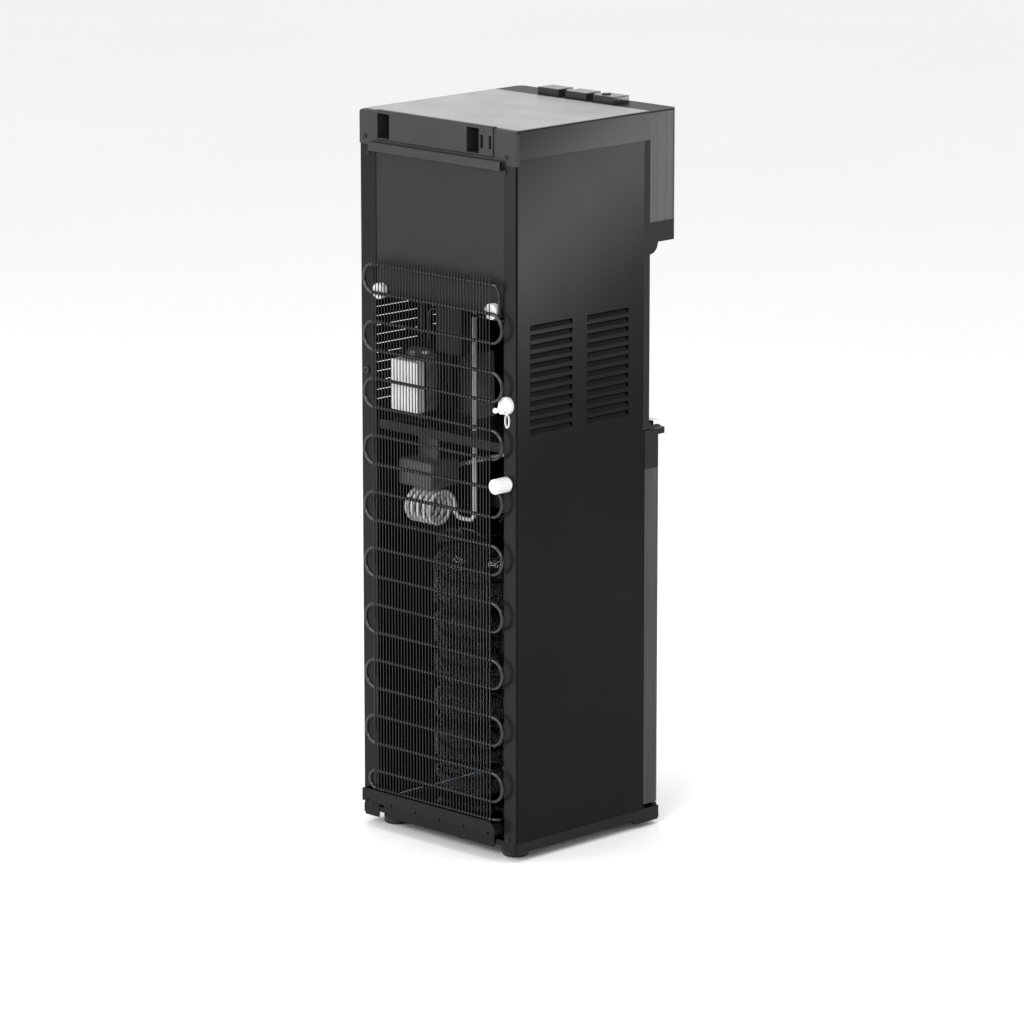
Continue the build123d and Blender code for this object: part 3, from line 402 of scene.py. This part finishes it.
for size in ((groove_long, groove_wide, groove_high), (groove_wide, groove_long, groove_high)):
    groove = screw_tree.nodes.new("GeometryNodeMeshCube")
    groove.inputs["Size"].default_value = size
    lift = screw_tree.nodes.new("GeometryNodeTransform")
    lift.inputs["Translation"].default_value = (0, 0, groove_lift)
    screw_tree.links.new(groove.outputs["Mesh"], lift.inputs["Geometry"])
    screw_tree.links.new(lift.outputs["Geometry"], cut.inputs["Mesh 2"])
drive = screw_tree.nodes.new("GeometryNodeInstanceOnPoints")
drive.inputs["Rotation"].default_value = (-math.pi / 2, 0, 0)
screw_tree.links.new(screw_in.outputs["Geometry"], drive.inputs["Points"])
screw_tree.links.new(cut.outputs["Mesh"], drive.inputs["Instance"])
close_tree(screw_tree, drive.outputs["Instances"], screw_out, black_zinc)
screw_sizes = {"Radius": screw_radius, "Height": screw_high[1] - screw_low[1]}
screws = grown("screw_heads", screw_tree, screw_sizes, spots)
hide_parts("back_screws")
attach(screws, "cabinet")

# %% [markdown]
# The dispenser stands on pale paper that runs on into the background. One wide floor under a white sky gives
# even surroundings, which the black gloss then mirrors softly.

# %% studio
floor_mesh = bpy.data.meshes.new("studio_floor")
reach = 40.0
floor_corners = [(-reach, -reach, 0), (reach, -reach, 0), (reach, reach, 0), (-reach, reach, 0)]
floor_mesh.from_pydata(floor_corners, [], [(0, 1, 2, 3)])
floor = bpy.data.objects.new("studio_floor", floor_mesh)
bpy.context.scene.collection.objects.link(floor)
paper = finish("studio_paper", grey(0.86), grey(0.88), (0.85, 0.95), grain=30, cloud=1, bump=0.0)
floor_mesh.materials.append(paper)

world = bpy.data.worlds.new("studio")
world.use_nodes = True
world.node_tree.nodes["Background"].inputs["Color"].default_value = (1, 1, 1, 1)
world.node_tree.nodes["Background"].inputs["Strength"].default_value = 1.0
bpy.context.scene.world = world
bpy.context.scene.view_settings.view_transform = "Standard"
print("studio floor half width", reach, "m")

# %% [markdown]
# Black shows its shape only by what it mirrors, so the lights are wide rectangles. A narrow one stands low,
# ahead of the right side panel, and is rolled so that it can lay a slanting sheen along it.


# %% lights
def lamp(name, place, target, size, power, roll=0.0):
    """A soft rectangular light that faces a point, rolled about the line to it."""
    data = bpy.data.lights.new(name, "AREA")
    data.shape = "RECTANGLE"
    data.size, data.size_y = size
    data.energy = power
    body = bpy.data.objects.new(name, data)
    body.location = place
    facing = (Vector(target) - Vector(place)).to_track_quat("-Z", "Y").to_matrix()
    body.rotation_euler = (facing @ Matrix.Rotation(roll, 3, "Z")).to_euler()
    bpy.context.scene.collection.objects.link(body)


lamp("key_light", (-1.6, 3.6, 2.6), (0, 0, 0.6), (1.6, 1.6), 90)
lamp("fill_light", (1.8, 3.0, 1.2), (0, 0, 0.5), (1.2, 2.0), 40)
lamp("top_light", (0, 0, 3.2), (0, 0, 0.5), (2.0, 2.0), 40)
lamp("sheen_light", (-1.65, -1.4, 0.5), (-0.15, 0, 0.8), (0.16, 1.0), 6, roll=math.radians(-50))
print("lights", len(bpy.data.lights))

# %% [markdown]
# The camera stands behind the dispenser, to its right and a little above the top, with a long lens that keeps
# the upright edges nearly parallel. Its turn is given by the directions of its right, its top and its back.

# %% camera
right = Vector((-0.7089, -0.7053, -0.0005))
up = Vector((0.1549, -0.1564, 0.9755))
behind = Vector((-0.6881, 0.6914, 0.2201))
lens_data = bpy.data.cameras.new("camera")
lens_data.sensor_width = 36.0
lens_data.lens = 191.94
lens_data.clip_end = 200.0
camera = bpy.data.objects.new("camera", lens_data)
turn = Matrix((right, up, behind)).transposed().to_4x4()
camera.matrix_world = Matrix.Translation((-5.26358, 5.28835, 2.13488)) @ turn
bpy.context.scene.collection.objects.link(camera)
bpy.context.scene.camera = camera
print("camera", [round(v, 2) for v in camera.matrix_world.translation], "lens", lens_data.lens)
